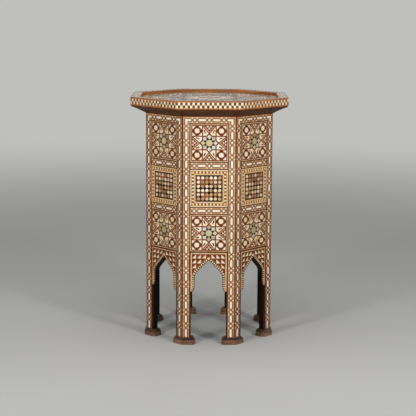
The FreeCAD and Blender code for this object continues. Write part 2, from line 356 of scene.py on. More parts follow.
BOARD_LIT_SKIN = ((74, 31, 12), (142, 72, 35), 5.0)
ARCH_SKIN = ((160, 104, 52), (212, 160, 96), 0.9)
TAN = ((110, 65, 34), (180, 128, 82))
# The pale tan is painted light, the colour of the lit front of the tan grounds.
FRONT_LIT_TAN = (222, 180, 134)
# The near-black colours of the boards are painted shade inside the drum and deep in the arches.
board = wood("walnut_board", (14, 8, 6), (42, 25, 17), coat=0.0, gloss=0.1, shaded_below_skin=BOARD_LIT_SKIN)
walnut_level = wood("walnut_level", (38, 20, 11), (106, 62, 35), LEVEL_GRAIN, coat=0.0, gloss=0.1)
foot_walnut = wood("foot_walnut", (54, 35, 25), (172, 129, 102), LEVEL_GRAIN, figure=6.0, darker_facing_up=0.3)
amber = wood("amber_rim", (118, 62, 22), (190, 115, 54), LEVEL_GRAIN, roughness=0.34, coat=0.3, gloss=0.5)
# The faded colours below are painted light on the front.
tan_up = wood("tan_upright", *TAN, front_lit_tint=FRONT_LIT_TAN)
tan_level = wood("tan_level", *TAN, LEVEL_GRAIN, front_lit_tint=FRONT_LIT_TAN)
pale_strip = wood("pale_strip", (158, 110, 68), (220, 178, 128), spread=0.2, front_lit_tint=(250, 232, 198))
gold = wood("gold_ground", (148, 92, 40), (204, 149, 81), front_lit_tint=(220, 170, 102))
# Near-black painted shade deep in the arches, under a golden face.
arch_gold = wood("arch_gold", (36, 20, 13), (74, 42, 26), shaded_below_skin=ARCH_SKIN)
red = wood("red_ground", (60, 22, 7), (114, 51, 20), front_lit_tint=(144, 70, 29))
line_wood = wood("line_wood", (32, 12, 5), (72, 33, 15))
string_wood = wood("string_wood", (58, 23, 9), (106, 51, 24), spread=0.2)
block_wood = wood("block_wood", (88, 40, 15), (146, 78, 36), spread=0.2)
ebony = wood("ebony", (8, 5, 4), (26, 15, 11), coat=0.0, gloss=0.15, spread=0.2)
brown = wood("brown_tile", (58, 25, 10), (146, 80, 38), spread=0.5)
edge_wood = wood("edge_tile", (80, 37, 15), (138, 78, 38), LEVEL_GRAIN, spread=0.3)
beech = wood("beech_pin", (168, 124, 84), (206, 170, 126), roughness=0.55, coat=0.0)
print("boards are rubbed", BOARD_LIT_SKIN[2], "mm deep")

# %% [markdown]
# ## Bone and shell
# The pale tiles are camel bone, cut into strips and polished. Bone yellows unevenly, tile by tile, and
# shows fine dark canals along its length. The stars and spandrels hold a yellower bone, and the rope
# round the arch a golden one. The greenish tiles in the stars are mother-of-pearl, whose layers turn
# from green to rose, so a wavy noise walks through a few pale colours. All are smooth, with a soft
# gloss.

# %% Bone and shell
ALONG_BONE = (1.0, 1.0, 0.12)
BONE_CLOUD, MIXED_CLOUD, SHELL_CLOUD = 9.0, 5.0, 3.0
CLOUD_WAVE, CLOUD_SHARE = 2.0, 0.6
CANAL, CANAL_LEVEL = 0.4, 0.64
CLOUD_DULLNESS, CLOUD_POLISH = 0.2, 0.1
CLOUD_RISE, CANAL_DEPTH = 0.3, 0.03
BONE_POLISH = {"roughness": 0.36, "coat": 0.2, "canals": 0.25}
SHELL_POLISH = {"roughness": 0.2, "coat": 0.4}


def polished(name, cloud, stops, roughness, coat, canals=0.0, spread=0.28, front_light=0.22):
    """A polished tile, its colour wandering with tone and clouds; painted light in front, painted shade low
    down.
    """
    material, shader, start = finish(name, roughness, coat)
    place = object_place(start)
    clouds = streaks(place, EVEN, cloud, distortion=CLOUD_WAVE)
    specks = pits(place, ALONG_BONE, CANAL, CANAL_LEVEL)
    # Painted light on the front, and painted shade towards the floor.
    shade = clouds * CLOUD_SHARE + tone(start, spread) + painted_front_light(start) * front_light
    shade = shade - specks * canals - painted_floor_shade(start)
    shade.ramp(stops).feed(shader.inputs["Base Color"])
    (clouds * CLOUD_DULLNESS + (roughness - CLOUD_POLISH)).feed(shader.inputs["Roughness"])
    bump(clouds * CLOUD_RISE - specks, shader, CANAL_DEPTH)
    return material


BONE_STOPS = ((0.0, (208, 166, 112)), (0.75, (252, 248, 233)),
              (0.36, (252, 240, 213)), (0.52, (253, 246, 225)))
YELLOW_STOPS = ((0.0, (200, 158, 104)), (0.75, (252, 247, 228)),
                (0.36, (240, 213, 164)), (0.52, (250, 240, 212)))
GOLDEN_STOPS = ((0.0, (206, 156, 96)), (0.75, (253, 238, 198)),
                (0.36, (247, 216, 160)), (0.52, (252, 230, 182)))
MIXED_STOPS = ((0.05, (120, 69, 32)), (0.7, (252, 245, 221)), (0.4, (213, 179, 126)))
SHELL_STOPS = ((0.15, (138, 101, 63)), (0.95, (234, 237, 238)),
               (0.45, (188, 161, 115)), (0.65, (213, 208, 182)))
GREEN_STOPS = ((0.15, (152, 130, 94)), (0.8, (232, 222, 174)), (0.45, (198, 186, 131)))
bone = polished("bone", BONE_CLOUD, BONE_STOPS, **BONE_POLISH)
yellow_bone = polished("yellow_bone", BONE_CLOUD, YELLOW_STOPS, spread=0.2, front_light=0.26, **BONE_POLISH)
golden_bone = polished("golden_bone", BONE_CLOUD, GOLDEN_STOPS, **BONE_POLISH)
mixed_bone = polished("mixed_bone", MIXED_CLOUD, MIXED_STOPS, spread=0.5, **BONE_POLISH)
shell = polished("shell", SHELL_CLOUD, SHELL_STOPS, spread=0.4, front_light=0.4, **SHELL_POLISH)
green_shell = polished("green_shell", SHELL_CLOUD, GREEN_STOPS, **SHELL_POLISH)
print("bone and shell:", bone.name, shell.name, green_shell.name)

# %% [markdown]
# ## Varnish
# The top of a table is handled most, so it has a thick clear varnish. From a low angle it mirrors the
# grey of the room and hides much of the pattern. A varnished copy of a finish is the same finish under
# a full coat. Cups have dulled the varnish of the tray, and sleeves have polished that of the rim.

# %% Varnish
TRAY_DULLNESS = 0.3
RIM_DULLNESS = 0.05


def varnished(material, where, dullness):
    """A copy of a finish under a full clear coat, named for the place where it lies."""
    copy = material.copy()
    copy.name = where + "_" + material.name
    inputs = copy.node_tree.nodes["Principled BSDF"].inputs
    inputs["Coat Weight"].default_value = 1.0
    inputs["Coat Roughness"].default_value = dullness
    return copy


tray_bone, tray_string, tray_line, tray_tan, tray_shell, tray_green, tray_brown, tray_ebony, tray_red = [
    varnished(material, "tray", TRAY_DULLNESS) for material in
    (bone, string_wood, line_wood, tan_level, shell, green_shell, brown, ebony, red)]
rim_bone, rim_string, rim_line, rim_tan = [
    varnished(material, "rim", RIM_DULLNESS) for material in (bone, string_wood, line_wood, tan_level)]
print("varnished:", tray_bone.name, rim_bone.name)

# %% [markdown]
# ## Grounds
# Each solid that stays in sight takes its own wood. The grounds of the chain bands are pale, those of
# the star panels and spandrels are red-brown, and those of the mosaic frame and the arch are golden.
# The screws inside the drum are plain steel, brushed by their own threads of noise.

# %% Dress the solids
STEEL_STOPS = ((0.3, (120, 118, 114)), (0.7, (176, 174, 170)))
STEEL_MARK = 0.6
STEEL_ROUGHNESS, STEEL_POLISH, STEEL_DULLNESS = 0.35, 0.1, 0.3


def steel_finish():
    material, shader, start = finish("steel", STEEL_ROUGHNESS)
    shader.inputs["Metallic"].default_value = 1.0
    brushed = streaks(object_place(start), UP_GRAIN, STEEL_MARK)
    brushed.ramp(STEEL_STOPS).feed(shader.inputs["Base Color"])
    (brushed * STEEL_DULLNESS + (STEEL_ROUGHNESS - STEEL_POLISH)).feed(shader.inputs["Roughness"])
    return material


GROUNDS = {
    "side_board": board,
    "corner_block": board,
    "top_board": walnut_level,
    "top_marquetry": tray_tan,
    "rim_bands": rim_tan,
    "edge_bands": tan_level,
    "stile_bands": tan_up,
    "top_bands": tan_level,
    "cross_bands": tan_level,
    "upper_star_panels": red,
    "lower_star_panels": red,
    "mosaic_frames": gold,
    "mosaic_panels": red,
    "spandrel_panels": red,
    "arch_strings": arch_gold,
    "string_lines": line_wood,
    "foot_dowels": beech,
    "top_screws": steel_finish(),
}
dressed = 0
for node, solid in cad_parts.items():
    kind = node.rstrip("_0123456789")
    if kind in GROUNDS:
        for place in solid.material_slots:
            place.material = GROUNDS[kind]
        dressed += 1
print("solids dressed:", dressed)

# %% [markdown]
# ## Mouldings and feet
# Hands and cloths have rounded the rim, the cornice and the feet. A copy of each solid is merged into
# one mesh, its flat triangles are joined into whole faces, and its sharp edges are bevelled. The edges
# of the mitres are left alone, because there two lengths meet flush.

# %% Rounded copies
SHARP = math.radians(30)
FLAT = math.radians(1)
SMOOTH = math.radians(20)
MITRE_TOLERANCE = math.radians(1)
MERGE = 0.01
WORN_SEGMENTS = 2
MOULDINGS = (
    ("foot", "foot_block", 0.9, foot_walnut, "walnut"),
    ("cornice", "cornice_length", 0.5, walnut_level, "walnut"),
    ("rim", "rim_length", 0.4, amber, "rim_wood"),
)


def placed(name, bm, material):
    """An object at the origin with the finished mesh."""
    mesh = bpy.data.meshes.new(name)
    bm.to_mesh(mesh)
    bm.free()
    mesh.materials.append(material)
    piece = bpy.data.objects.new(name, mesh)
    bpy.context.collection.objects.link(piece)
    return piece


def shown(name, bm, material):
    """A finished piece that rides on the table."""
    piece = placed(name, bm, material)
    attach(piece, "root")
    return piece


def bevelled(bm, edges, width, segments):
    bmesh.ops.bevel(bm, geom=edges, offset=width * MM, segments=segments, profile=0.5, affect="EDGES",
                    clamp_overlap=True, material=-1)


def on_mitre(face):
    """Whether a face lies in an upright plane through a corner of the octagon."""
    if abs(face.normal.z) > math.sin(FLAT):
        return False
    bearing = math.atan2(face.normal.y, face.normal.x) % TURN
    return abs(bearing - TURN / 2) < MITRE_TOLERANCE


def rounded(node, name, radius, material):
    """A copy of a solid with worn edges, shown in its place."""
    bm = bmesh.new()
    bm.from_mesh(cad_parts[node].data)
    bmesh.ops.remove_doubles(bm, verts=bm.verts, dist=MERGE * MM)
    bmesh.ops.dissolve_limit(bm, angle_limit=FLAT, verts=bm.verts, edges=bm.edges)
    bm.normal_update()
    worn = [edge for edge in bm.edges if edge.calc_face_angle(0.0) > SHARP
            and not any(on_mitre(face) for face in edge.link_faces)]
    bevelled(bm, worn, radius, WORN_SEGMENTS)
    piece = shown(name, bm, material)
    piece.data.shade_smooth()
    piece.data.set_sharp_from_angle(angle=SMOOTH)
    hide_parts(node)


for number in range(1, SIDES + 1):
    for node, name, radius, material, slot in MOULDINGS:
        rounded(f"{node}_{number}", f"{name}_{number}", radius, material)
print("rounded copies:", len(MOULDINGS) * SIDES)

# %% [markdown]
# ## The bench
# A marquetry maker draws a pattern flat, cuts every tile, and only then glues it to the table. The same
# is done here. A tile is one face on a flat bench, with x to the right and z up. Spinning, mirroring
# and copying repeat what has been drawn so far, so that only one part of each pattern is drawn tile by
# tile.

# %% Drawing on the bench
def tile(bm, *corners):
    """One flat tile that faces the viewer, through its corners in millimetres."""
    face = bm.faces.new([bm.verts.new((x * MM, 0.0, z * MM)) for x, z in corners])
    face.normal_update()
    if face.normal.y > 0:
        face.normal_flip()


def slab(bm, centre, along, across):
    """A tile with four square corners, from its centre and its two half sides."""
    tile(bm, centre - along - across, centre + along - across,
         centre + along + across, centre - along + across)


def diamond(bm, wide, high):
    """A tile on its corner in the middle of the bench, from its half width and half height."""
    tile(bm, (wide, 0), (0, high), (-wide, 0), (0, -high))


def frame_strip(bm, inside, outside):
    """The upper strip of a square frame, mitred at both ends, between two half widths of the frame."""
    tile(bm, (-outside, outside), (outside, outside), (inside, inside), (-inside, inside))


def everything(bm):
    return bm.verts[:] + bm.edges[:] + bm.faces[:]


def turned(bm, times, axis=(0, 1, 0)):
    """Repeats everything at even turns, round the middle of the bench unless axis says otherwise."""
    bmesh.ops.spin(bm, geom=everything(bm), cent=(0, 0, 0), axis=axis, dvec=(0, 0, 0),
                   angle=math.tau * (times - 1) / times, steps=times - 1, use_duplicate=True)


def copied(bm, geometry):
    """Copies geometry and returns the corners and faces of the copy."""
    copy = bmesh.ops.duplicate(bm, geom=geometry)["geom"]
    corners = [part for part in copy if isinstance(part, bmesh.types.BMVert)]
    faces = [part for part in copy if isinstance(part, bmesh.types.BMFace)]
    return corners, faces


def mirrored(bm, scale=(-1, 1, 1)):
    """Adds the mirror image of what is drawn, left to right unless scale says otherwise."""
    corners, faces = copied(bm, everything(bm))
    bmesh.ops.scale(bm, vec=scale, verts=corners)
    bmesh.ops.reverse_faces(bm, faces=faces)


def laid(bm, *places):
    """Moves what is drawn to the first place, and lays a copy at each of the others."""
    drawn = everything(bm)
    first = bm.verts[:]
    for x, z in places[1:]:
        corners = copied(bm, drawn)[0]
        bmesh.ops.translate(bm, verts=corners, vec=(x * MM, 0, z * MM))
    bmesh.ops.translate(bm, verts=first, vec=(places[0][0] * MM, 0, places[0][1] * MM))


def joined(bm, *others):
    """Brings other drawings into bm and returns it."""
    for other in others:
        sheet = bpy.data.meshes.new("sheet")
        other.to_mesh(sheet)
        other.free()
        bm.from_mesh(sheet)
        bpy.data.meshes.remove(sheet)
    return bm


print("bench ready")

# %% [markdown]
# ## From the bench to the table
# Every tile is first drawn in by half the joint, which leaves a line of ground between neighbours. Then
# it gets its thickness and a fine bevel, as scraping and polishing leave it, and the drawing is stood
# against the front or laid on the top. One spin about the table's axis puts it on all eight sides. A
# random tone goes to every tile at the end, so that no two are quite alike.

# %% Gluing to the table
GLUE = 0.1
TILE_BEVEL = 0.12
TABLE_AXIS = (0, 0, 1)


def wall(distance):
    """Stands a drawing on the front, at a distance from the middle of the table."""
    return Matrix.Translation((0, -distance * MM, 0))


def table(height):
    """Lays a drawing face up at a height, with its lower edge towards the front."""
    return Matrix.Translation((0, 0, height * MM)) @ Matrix.Rotation(-UPRIGHT, 4, "X")


def give_tones(bm, seed):
    """One random number for each separate tile, kept on its corners."""
    random = Random(seed)
    layer = bm.verts.layers.float.new("tone")
    seen = set()
    for corner in bm.verts:
        if corner in seen:
            continue
        number = random.random()
        wave = [corner]
        seen.add(corner)
        while wave:
            reached = wave.pop()
            reached[layer] = number
            near = [edge.other_vert(reached) for edge in reached.link_edges]
            fresh = [other for other in near if other not in seen]
            seen.update(fresh)
            wave.extend(fresh)


def inlay(name, bm, material, place, joint=0.0, bevel=TILE_BEVEL, sides=SIDES):
    """Cuts, thickens and glues a drawing, and repeats it round the table."""
    tiles = bm.faces[:]
    if joint:
        half_joint = joint / 2 * MM
        cut = bmesh.ops.inset_individual(bm, faces=tiles, thickness=half_joint, use_even_offset=True)
        bmesh.ops.delete(bm, geom=cut["faces"], context="FACES")
    bmesh.ops.solidify(bm, geom=tiles, thickness=(RELIEF + GLUE) * MM)
    if bevel:
        fronts = set(tiles)
        around = dict.fromkeys(edge for face in tiles for edge in face.edges)
        rims = [edge for edge in around if len(fronts.intersection(edge.link_faces)) == 1]
        bevelled(bm, rims, bevel, segments=1)
    bmesh.ops.transform(bm, matrix=place, verts=bm.verts)
    if sides > 1:
        turned(bm, sides, TABLE_AXIS)
    give_tones(bm, name)
    piece = shown(name, bm, material)
    print(name, "tiles:", len(tiles) * sides, "faces:", len(piece.data.polygons))


print("tiles are", round(RELIEF + GLUE, 2), "thick")

# %% [markdown]
# ## Star panels: the heart
# Eight lines, all at the same distance from the middle, cross to make an eight-pointed star. Their
# crossings lie on four rings, and every tile of the heart has its corners on those rings: a shell
# octagon, ebony triangles round it, and shell squares in the points. The same star comes back on the
# tray, at other sizes.

# %% Star heart
def polar(radius, eighths):
    """A place on the bench, from its distance to the middle and its bearing in eighths of a turn."""
    return Vector((radius * math.cos(eighths * TURN), radius * math.sin(eighths * TURN)))


class StarRings:
    """Radii of the crossings of eight lines at one distance from the middle."""

    def __init__(self, distance):
        self.heart = (2 - math.sqrt(2)) * distance
        self.waist = distance / math.cos(TURN / 2)
        self.point = math.sqrt(2) * distance
        self.tip = distance / math.cos(3 * TURN / 2)


def heart_middle(rings):
    bm = bmesh.new()
    tile(bm, *[polar(rings.heart, step) for step in range(SIDES)])
    return bm


def heart_shell(rings):
    bm = bmesh.new()
    tile(bm, polar(rings.point, 0), polar(rings.waist, 0.5),
         polar(rings.heart, 0), polar(rings.waist, -0.5))
    turned(bm, SIDES)
    return bm


def heart_ebony(rings):
    bm = bmesh.new()
    tile(bm, polar(rings.waist, 0.5), polar(rings.heart, 0), polar(rings.heart, 1))
    turned(bm, SIDES)
    return bm


STAR_DISTANCE = 17.8
STAR_JOINT = 3.0
HEART_JOINT = 0.8
star = StarRings(STAR_DISTANCE)
heart = StarRings(STAR_DISTANCE - STAR_JOINT / 2)
STARS = ((0, UPPER_STAR), (0, LOWER_STAR))
HEART = (
    ("shell", heart_shell, "pearl"),
    ("middle", heart_middle, "pearl"),
    ("ebony", heart_ebony, "dark_wood"),
)
for (part, draw, slot), material in zip(HEART, (shell, green_shell, ebony)):
    drawing = draw(heart)
    laid(drawing, *STARS)
    inlay("star_heart_" + part, drawing, material, wall(FACE), HEART_JOINT)
print("star rings:", {name: round(radius, 2) for name, radius in vars(star).items()})

# %% [markdown]
# ## Star panels: kites and corners
# Round the heart lie eight bone kites, each with a dark slit let into it. The four corners of the panel
# hold a square of four bone triangles round an octagon. One kite is drawn and mirrored, one corner is
# drawn beside the pair, and the whole is turned four times.

# %% Star kites and corners
QUARTERS = 4
FIELD = 46.3
SLIT = Vector((9.4, 3.5))
SLIT_PLACE = 0.44
SLIT_LIFT = 0.06
CORNER_OCTAGON = (6.3, 3.0)
CORNER_TIP = (11.6, 8.2, 2.7)


def octagon(bm, long, short, centre=(0.0, 0.0)):
    """An octagon with corners at (long, short) and (short, long) in every quarter."""
    quarter = [(long, short), (short, long)]
    corners = [Vector(corner) @ Matrix.Rotation(-UPRIGHT * step, 2)
               for step in range(QUARTERS) for corner in quarter]
    tile(bm, *[Vector(centre) + corner for corner in corners])


def slit(bm, start, end):
    """A thin tile along the line from start to end, a little short of its middle."""
    along = (end - start).normalized() * SLIT.x / 2
    across = Vector((-along.y, along.x)).normalized() * SLIT.y / 2
    slab(bm, start.lerp(end, SLIT_PLACE), along, across)


def on_stars(bm):
    """Turns one quarter of a star panel four times, and lays it on the upper and the lower panel."""
    turned(bm, QUARTERS)
    laid(bm, *STARS)
    return bm


near, far = STAR_DISTANCE, FIELD
halfway = (near + far) / 2
kite_foot, kite_tip = polar(star.waist, 1.5), Vector((near, far))
bones, octagons, tips, slits = bmesh.new(), bmesh.new(), bmesh.new(), bmesh.new()
tile(bones, polar(star.point, 1), kite_foot, polar(star.point, 2), kite_tip)
mirrored(bones)
tile(bones, (near, near), (halfway, near), (near, halfway))
tile(bones, (far, near), (far, halfway), (halfway, near))
tile(bones, (far, far), (halfway, far), (far, halfway))
tile(bones, (near, far), (near, halfway), (halfway, far))
octagon(octagons, *CORNER_OCTAGON, centre=(halfway, halfway))
tip, base, half = CORNER_TIP
tile(tips, (tip, 0), (base, half), (base, -half))
turned(tips, QUARTERS)
laid(tips, (halfway, halfway))
slit(slits, kite_foot, kite_tip)
mirrored(slits)
inlay("star_bone", on_stars(bones), yellow_bone, wall(FACE), STAR_JOINT)
inlay("star_corner_octagons", on_stars(octagons), yellow_bone, wall(FACE))
inlay("star_corner_tips", on_stars(tips), line_wood, wall(FACE))
inlay("star_slits", on_stars(slits), brown, wall(FACE + SLIT_LIFT), bevel=0.0)

# %% [markdown]
# ## Star panels: edge triangles
# Between the kites a triangle stands on each edge of the panel. Two pale strips run down its sides, and
# small triangles fill it in rows, dark and pale by turns, which is how offcuts were used up.

# %% Star edge triangles
CHEQUER_JOINT = 0.4
CHEQUER_HALF, CHEQUER_APEX = 12.6, 31.0
CHEQUER_ROWS = 3
SIDE_STRIP = (1.3, 2.7)
BORDER_STRIP = (0.4, 2.2)


def shrunk(triangle, inset):
    """A triangle with its sides moved inwards by inset."""
    lengths = [(triangle[1] - triangle[2]).length, (triangle[2] - triangle[0]).length,
               (triangle[0] - triangle[1]).length]
    around = sum(lengths)
    weighted = [corner * length for corner, length in zip(triangle, lengths)]
    centre = sum(weighted, Vector((0, 0))) / around
    first, second = triangle[1] - triangle[0], triangle[2] - triangle[0]
    inner_radius = abs(first.cross(second)) / around
    return [centre + (corner - centre) * (1 - inset / inner_radius) for corner in triangle]


def chequer(dark, pale, triangle, rows):
    """Fills a triangle with rows of small ones: dark ones stand as it does, pale ones on their heads."""
    first, second, apex = triangle
    across, up = (second - first) / rows, (apex - first) / rows
    for row in range(rows):
        for column in range(rows - row):
            corner = first + across * column + up * row
            tile(dark, corner, corner + across, corner + up)
            if column < rows - row - 1:
                tile(pale, corner + across, corner + across + up, corner + up)


def side_strips(bm, triangle, outer, inner):
    """Strips along the two sides of a triangle that meet in its apex."""
    outside, inside = shrunk(triangle, outer), shrunk(triangle, inner)
    for base in (0, 1):
        tile(bm, outside[base], outside[2], inside[2], inside[base])


edge_triangle = [Vector((-near, far)), Vector((near, far)), Vector((0, star.point))]
dark, pale, strips, border = bmesh.new(), bmesh.new(), bmesh.new(), bmesh.new()
filled = [Vector((-CHEQUER_HALF, far)), Vector((CHEQUER_HALF, far)), Vector((0, CHEQUER_APEX))]
chequer(dark, pale, filled, CHEQUER_ROWS)
side_strips(strips, edge_triangle, *SIDE_STRIP)
frame_strip(border, PANEL_HALF - BORDER_STRIP[1], PANEL_HALF - BORDER_STRIP[0])
inlay("star_edge_dark", on_stars(dark), block_wood, wall(FACE), CHEQUER_JOINT)
inlay("star_edge_bone", on_stars(pale), yellow_bone, wall(FACE), CHEQUER_JOINT)
inlay("star_strips", on_stars(strips), pale_strip, wall(FACE))
inlay("star_border", on_stars(border), pale_strip, wall(FACE))

# %% [markdown]
# ## Chain bands
# The bands between the panels are chains. Two thin strings cross again and again, and enclose a small
# bone diamond and a long pointed bar by turns. Small bone triangles fill the notches outside each
# crossing. One link is drawn and laid along the band, and the bars are added between the links.

# %% Links of the chain
DIAMOND = Vector((3.9, 3.4))
CROSSING = 6.0
NOTCH_APEX, NOTCH_BASE, NOTCH_HALF = 3.6, 7.2, 2.2
BAR_TIP = 8.5
BAR_HALF = 2.9
STRING_WIDTH = 1.4
BESIDE_BAR, BESIDE_DIAMOND = 4.2, 5.2
BEND_PAST_TIP = 2.0
STRING_BEND = BAR_TIP + BEND_PAST_TIP


def bar(bm, start, end):
    """A bar with two pointed ends."""
    tile(bm, (start, 0), (start + BAR_HALF, -BAR_HALF), (end - BAR_HALF, -BAR_HALF),
         (end, 0), (end - BAR_HALF, BAR_HALF), (start + BAR_HALF, BAR_HALF))


def half_bar(bm, start, end_below, end_above):
    """A bar with one pointed end, cut straight through where it meets another piece."""
    tile(bm, (start, 0), (start + BAR_HALF, -BAR_HALF), (end_below, -BAR_HALF),
         (end_above, BAR_HALF), (start + BAR_HALF, BAR_HALF))


def links(count, pitch):
    """Diamonds along x from 0 at each pitch, with their notch triangles and the bars between them."""
    bm = bmesh.new()
    tile(bm, (CROSSING, NOTCH_APEX), (CROSSING - NOTCH_HALF, NOTCH_BASE),
         (CROSSING + NOTCH_HALF, NOTCH_BASE))
    mirrored(bm)
    mirrored(bm, (1, 1, -1))
    diamond(bm, *DIAMOND)
    laid(bm, *[(step * pitch, 0) for step in range(count)])
    for step in range(count - 1):
        bar(bm, step * pitch + BAR_TIP, (step + 1) * pitch - BAR_TIP)
    return bm


def string(count, pitch, start, end, side):
    """One string of a chain: past every bar on its side, and past every diamond on the other."""
    path = [(start, side * BESIDE_BAR)]
    for step in range(count):
        link = step * pitch
        path += [(link - STRING_BEND, side * BESIDE_BAR), (link, -side * BESIDE_DIAMOND),
                 (link + STRING_BEND, side * BESIDE_BAR)]
    path.append((end, side * BESIDE_BAR))
    bm = bmesh.new()
    corners = [bm.verts.new((x * MM, 0, (z - STRING_WIDTH / 2) * MM)) for x, z in path]
    edges = [bm.edges.new(ends) for ends in zip(corners, corners[1:])]
    grown = bmesh.ops.extrude_edge_only(bm, edges=edges)["geom"]
    upper = [part for part in grown if isinstance(part, bmesh.types.BMVert)]
    bmesh.ops.translate(bm, verts=upper, vec=(0, 0, STRING_WIDTH * MM))
    bm.normal_update()
    bmesh.ops.reverse_faces(bm, faces=[face for face in bm.faces if face.normal.y > 0])
    return bm


print("a link is", 2 * CROSSING, "long between its crossings")

# %% [markdown]
# ## Chains on the walls
# The two stiles and the top band of a side are one chain that turns its corners with an L-shaped bar,
# and two shorter chains lie between the panels. A drawing that runs along x is turned on the bench to
# stand on end for a stile, then mirrored for the other one. One string of each pair is raised by a hair
# where the two cross.

# %% Wall chains
STILE_LINKS, STILE_PITCH = 15, 38.14
TOP_LINKS, TOP_PITCH = 3, 38.3
CROSS_PITCH = 39.0
FIRST_LINK = 13.0
STILE_FIRST = TOP_BAND - BAND_HALF - FIRST_LINK
STRING_LIFT = 0.05
BAR_TO_FOOT = 1.5


def stood(bm):
    """Turns a drawing that runs to the right so that it runs down, and lays it on both stiles."""
    bmesh.ops.rotate(bm, matrix=Matrix.Rotation(UPRIGHT, 3, "Y"), verts=bm.verts)
    laid(bm, (STILE, STILE_FIRST))
    mirrored(bm)
    return bm


def centred(bm, count, pitch, *heights):
    """Centres a level drawing on the face, at each of the heights."""
    laid(bm, *[(-(count - 1) * pitch / 2, height) for height in heights])
    return bm


def level_links(count, pitch, *heights):
    """The bone of a level chain, centred at each of the heights."""
    return centred(links(count, pitch), count, pitch, *heights)


def level_string(count, pitch, reach, side, *heights):
    """One string of a level chain, which reaches equally far to both sides."""
    last = (count - 1) * pitch
    start = last / 2 - reach
    return centred(string(count, pitch, start, last - start, side), count, pitch, *heights)


def corner_bars():
    """The L-shaped bars between the top band and the stiles."""
    tip = (TOP_LINKS - 1) * TOP_PITCH / 2 + BAR_TIP
    drop = STILE_FIRST + BAR_TIP - TOP_BAND
    bm = bmesh.new()
    tile(bm, (tip, 0), (tip + BAR_HALF, BAR_HALF), (STILE + BAR_HALF, BAR_HALF),
         (STILE + BAR_HALF, drop + BAR_HALF), (STILE, drop), (STILE - BAR_HALF, drop + BAR_HALF),
         (STILE - BAR_HALF, -BAR_HALF), (tip + BAR_HALF, -BAR_HALF))
    laid(bm, (0, TOP_BAND))
    mirrored(bm)
    return bm


stile_links = links(STILE_LINKS, STILE_PITCH)
stile_end = STILE_FIRST - FOOT_TOP
last_bar_end = stile_end - BAR_TO_FOOT
half_bar(stile_links, (STILE_LINKS - 1) * STILE_PITCH + BAR_TIP, last_bar_end, last_bar_end)
top_links = level_links(TOP_LINKS, TOP_PITCH, TOP_BAND)
cross_links = level_links(TOP_LINKS, CROSS_PITCH, *CROSS_BANDS)
chain = joined(stood(stile_links), top_links, cross_links, corner_bars())
inlay("wall_chain_bone", chain, bone, wall(FACE))

for side, lift in ((1, 0.0), (-1, STRING_LIFT)):
    top_reach = STILE + side * BESIDE_BAR + STRING_WIDTH / 2
    top_string = level_string(TOP_LINKS, TOP_PITCH, top_reach, side, TOP_BAND)
    cross_string = level_string(TOP_LINKS, CROSS_PITCH, PANEL_HALF, side, *CROSS_BANDS)
    stile_start = STILE_FIRST - TOP_BAND + side * BESIDE_BAR - STRING_WIDTH / 2
    stile_string = string(STILE_LINKS, STILE_PITCH, stile_start, stile_end, -side)
    strings = joined(stood(stile_string), top_string, cross_string)
    name = "wall_strings_over" if lift else "wall_strings_under"
    inlay(name, strings, string_wood, wall(FACE + lift), bevel=0.0)

# %% [markdown]
# ## Mosaic panel
# The middle panel is a plain grid of bone octagons. Squares of wood, set on their corners, fill the
# gaps between them: ebony in a cross and at two places below it, and mixed browns elsewhere. Dark half
# squares close the edge. Each piece is drawn once and laid at every place of the grid.

# %% Mosaic
GRID = 6
GRID_PITCH = 11.2
GRID_OCTAGON = (4.1, 1.7)
GRID_DIAMOND = 4.9
GRID_EDGE = GRID / 2 * GRID_PITCH
EBONY_PLACES = ((0, -1), (0, 1), (-2, 0), (-1, 0), (0, 0), (1, 0), (2, 0), (-2, -2), (1, -2))


def grid(count):
    """Places of a square grid, centred on the panel."""
    steps = [(step - (count - 1) / 2) * GRID_PITCH for step in range(count)]
    return [(x, z) for x in steps for z in steps]


def grid_diamonds(places):
    bm = bmesh.new()
    diamond(bm, GRID_DIAMOND, GRID_DIAMOND)
    laid(bm, *[(x, MOSAIC + z) for x, z in places])
    return bm


def in_ebony(x, z):
    return (round(x / GRID_PITCH), round(z / GRID_PITCH)) in EBONY_PLACES


def around_mosaic(bm):
    """Turns one side of a square four times, round the middle of the mosaic."""
    turned(bm, QUARTERS)
    laid(bm, (0, MOSAIC))
    return bm


drawing = bmesh.new()
octagon(drawing, *GRID_OCTAGON)
laid(drawing, *[(x, MOSAIC + z) for x, z in grid(GRID)])
inlay("mosaic_octagons", drawing, mixed_bone, wall(FACE))
black = [place for place in grid(GRID - 1) if in_ebony(*place)]
others = [place for place in grid(GRID - 1) if not in_ebony(*place)]
inlay("mosaic_ebony", grid_diamonds(black), ebony, wall(FACE))
inlay("mosaic_browns", grid_diamonds(others), brown, wall(FACE))
drawing = bmesh.new()
tile(drawing, (-GRID_DIAMOND, GRID_EDGE), (GRID_DIAMOND, GRID_EDGE), (0, GRID_EDGE - GRID_DIAMOND))
laid(drawing, *[((step - (GRID - 2) / 2) * GRID_PITCH, 0) for step in range(GRID - 1)])
inlay("mosaic_edge", around_mosaic(drawing), line_wood, wall(FACE))

# %% [markdown]
# ## Frame of the mosaic
# A golden frame runs round the mosaic between two cream lines, with brown and cream blocks by turns,
# and a small bar cuts off each corner. One side is drawn and turned four times.

# %% Mosaic frame
BLOCK = Vector((4.5, 5.4))
BLOCK_STEP = 9.3
BLOCK_LINE = 42.8
BROWN_BLOCKS, CREAM_BLOCKS = 9, 8
FRAME_LINES = ((36.4, 38.2), (47.5, 49.3))
MOSAIC_LINE = (34.0, 35.8)
CORNER_BAR = Vector((4.0, 1.4))
CORNER_BAR_PLACE = 42.0
CORNER_DARK = (43.4, 46.8)


def block_row(count):
    """A row of blocks, centred on the upper side of the frame."""
    bm = bmesh.new()
    slab(bm, Vector((0, 0)), Vector((BLOCK.x / 2, 0)), Vector((0, BLOCK.y / 2)))
    first = -(count - 1) / 2 * BLOCK_STEP
    laid(bm, *[(first + step * BLOCK_STEP, BLOCK_LINE) for step in range(count)])
    return bm


